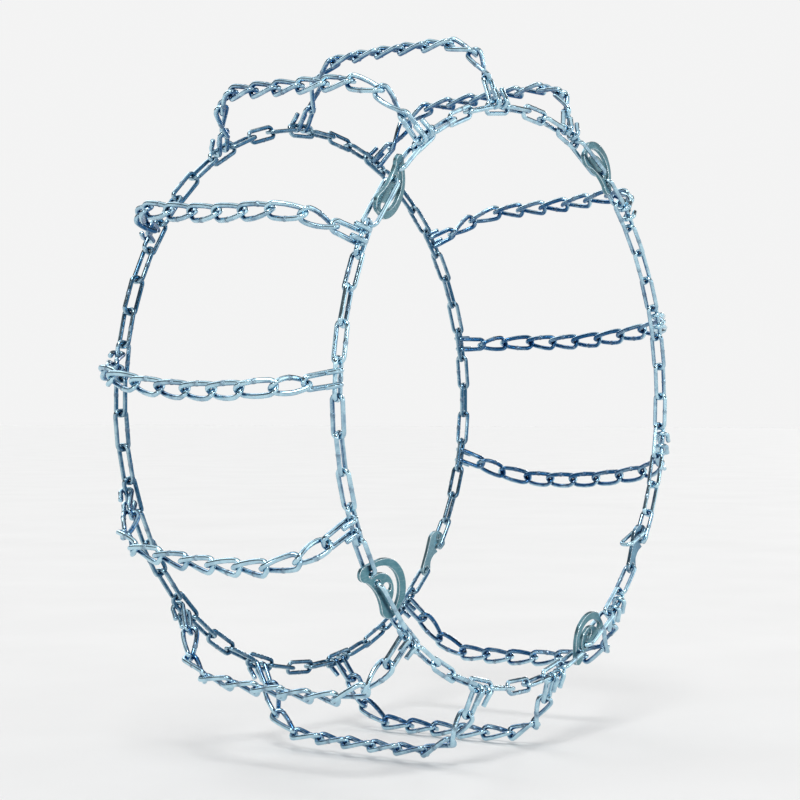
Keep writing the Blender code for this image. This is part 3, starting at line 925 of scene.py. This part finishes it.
angles = hook_angles()
side_chains(angles)
for number, angle in enumerate(angles, 1):
    cross_chain(number, angle)
for number, (bay, tilt) in enumerate(zip(CAM_BAYS, CAM_TILTS), 1):
    tension_cam(number, angles[bay], bay == OUTWARD_CAM_BAY, math.radians(tilt))
fastener_low = angles[FASTENER_BAY + 1] - 1.5 * LINK_STEP
head = fastener("side_chain_fastener", fastener_low, -RING_Y, BLUE_PLATE, "fastener")
keeper_ring(head)
inner_low = fastener_low + INNER_RING_TURN
fastener("inner_joining_hook", inner_low, INNER_RING_Y, WORN_PLATE, "side_chains")


# ---------------------------------------------------------------- studio


def add_floor():
    """A wide flat pale floor just under the chains."""
    z = cad_box[0].z - FLOOR_DROP
    mesh = bpy.data.meshes.new("floor")
    corners = [(x * FLOOR_HALF, y * FLOOR_HALF, z) for x, y in ((-1, -1), (1, -1), (1, 1), (-1, 1))]
    mesh.from_pydata(corners, [], [(0, 1, 2, 3)])
    mesh.materials.append(floor_material())
    floor = bpy.data.objects.new("floor", mesh)
    bpy.context.scene.collection.objects.link(floor)


def add_sun(name, toward, spread, power, colour):
    """A large soft light far away, shining along toward."""
    light = bpy.data.lights.new(name, "SUN")
    light.energy = power
    light.angle = math.radians(spread)
    light.color = colour
    lamp = bpy.data.objects.new(name, light)
    lamp.rotation_mode = "QUATERNION"
    lamp.rotation_quaternion = Vector(toward).to_track_quat("-Z", "Y")
    bpy.context.scene.collection.objects.link(lamp)


def add_world():
    """A grey studio around the chains, the same from every side, with a darker band above."""
    world = bpy.data.worlds.new("studio")
    bpy.context.scene.world = world
    world.use_nodes = True
    tree = world.node_tree
    back = tree.nodes["Background"]
    where = tree.nodes.new("ShaderNodeTexCoord")
    split = tree.nodes.new("ShaderNodeSeparateXYZ")
    ramp = tree.nodes.new("ShaderNodeValToRGB")
    tree.links.new(where.outputs["Generated"], split.inputs["Vector"])
    rise = tree.nodes.new("ShaderNodeMapRange")
    rise.inputs["From Min"].default_value = -1.0
    rise.inputs["From Max"].default_value = 1.0
    tree.links.new(split.outputs["Z"], rise.inputs["Value"])
    tree.links.new(rise.outputs["Result"], ramp.inputs["Fac"])
    for _ in range(len(WORLD_GREYS) - 2):
        ramp.color_ramp.elements.new(0.5)
    for stop, (height, grey) in zip(ramp.color_ramp.elements, WORLD_GREYS):
        stop.position = height
        stop.color = (grey, grey, grey, 1)
    tree.links.new(ramp.outputs["Color"], back.inputs["Color"])
    back.inputs["Strength"].default_value = 1.0


def add_camera():
    """The photograph's view, of the tread and the street side."""
    camera = bpy.data.cameras.new("camera")
    camera.lens = CAMERA_LENS
    camera.sensor_width = CAMERA_SENSOR
    holder = bpy.data.objects.new("camera", camera)
    holder.location = CAMERA_PLACE
    holder.rotation_mode = "QUATERNION"
    holder.rotation_quaternion = Vector(CAMERA_FORWARD).to_track_quat("-Z", "Y")
    bpy.context.scene.collection.objects.link(holder)
    bpy.context.scene.camera = holder


bpy.context.scene.view_settings.view_transform = "Standard"
add_floor()
add_world()
for sun in SUNS:
    add_sun(*sun)
add_camera()
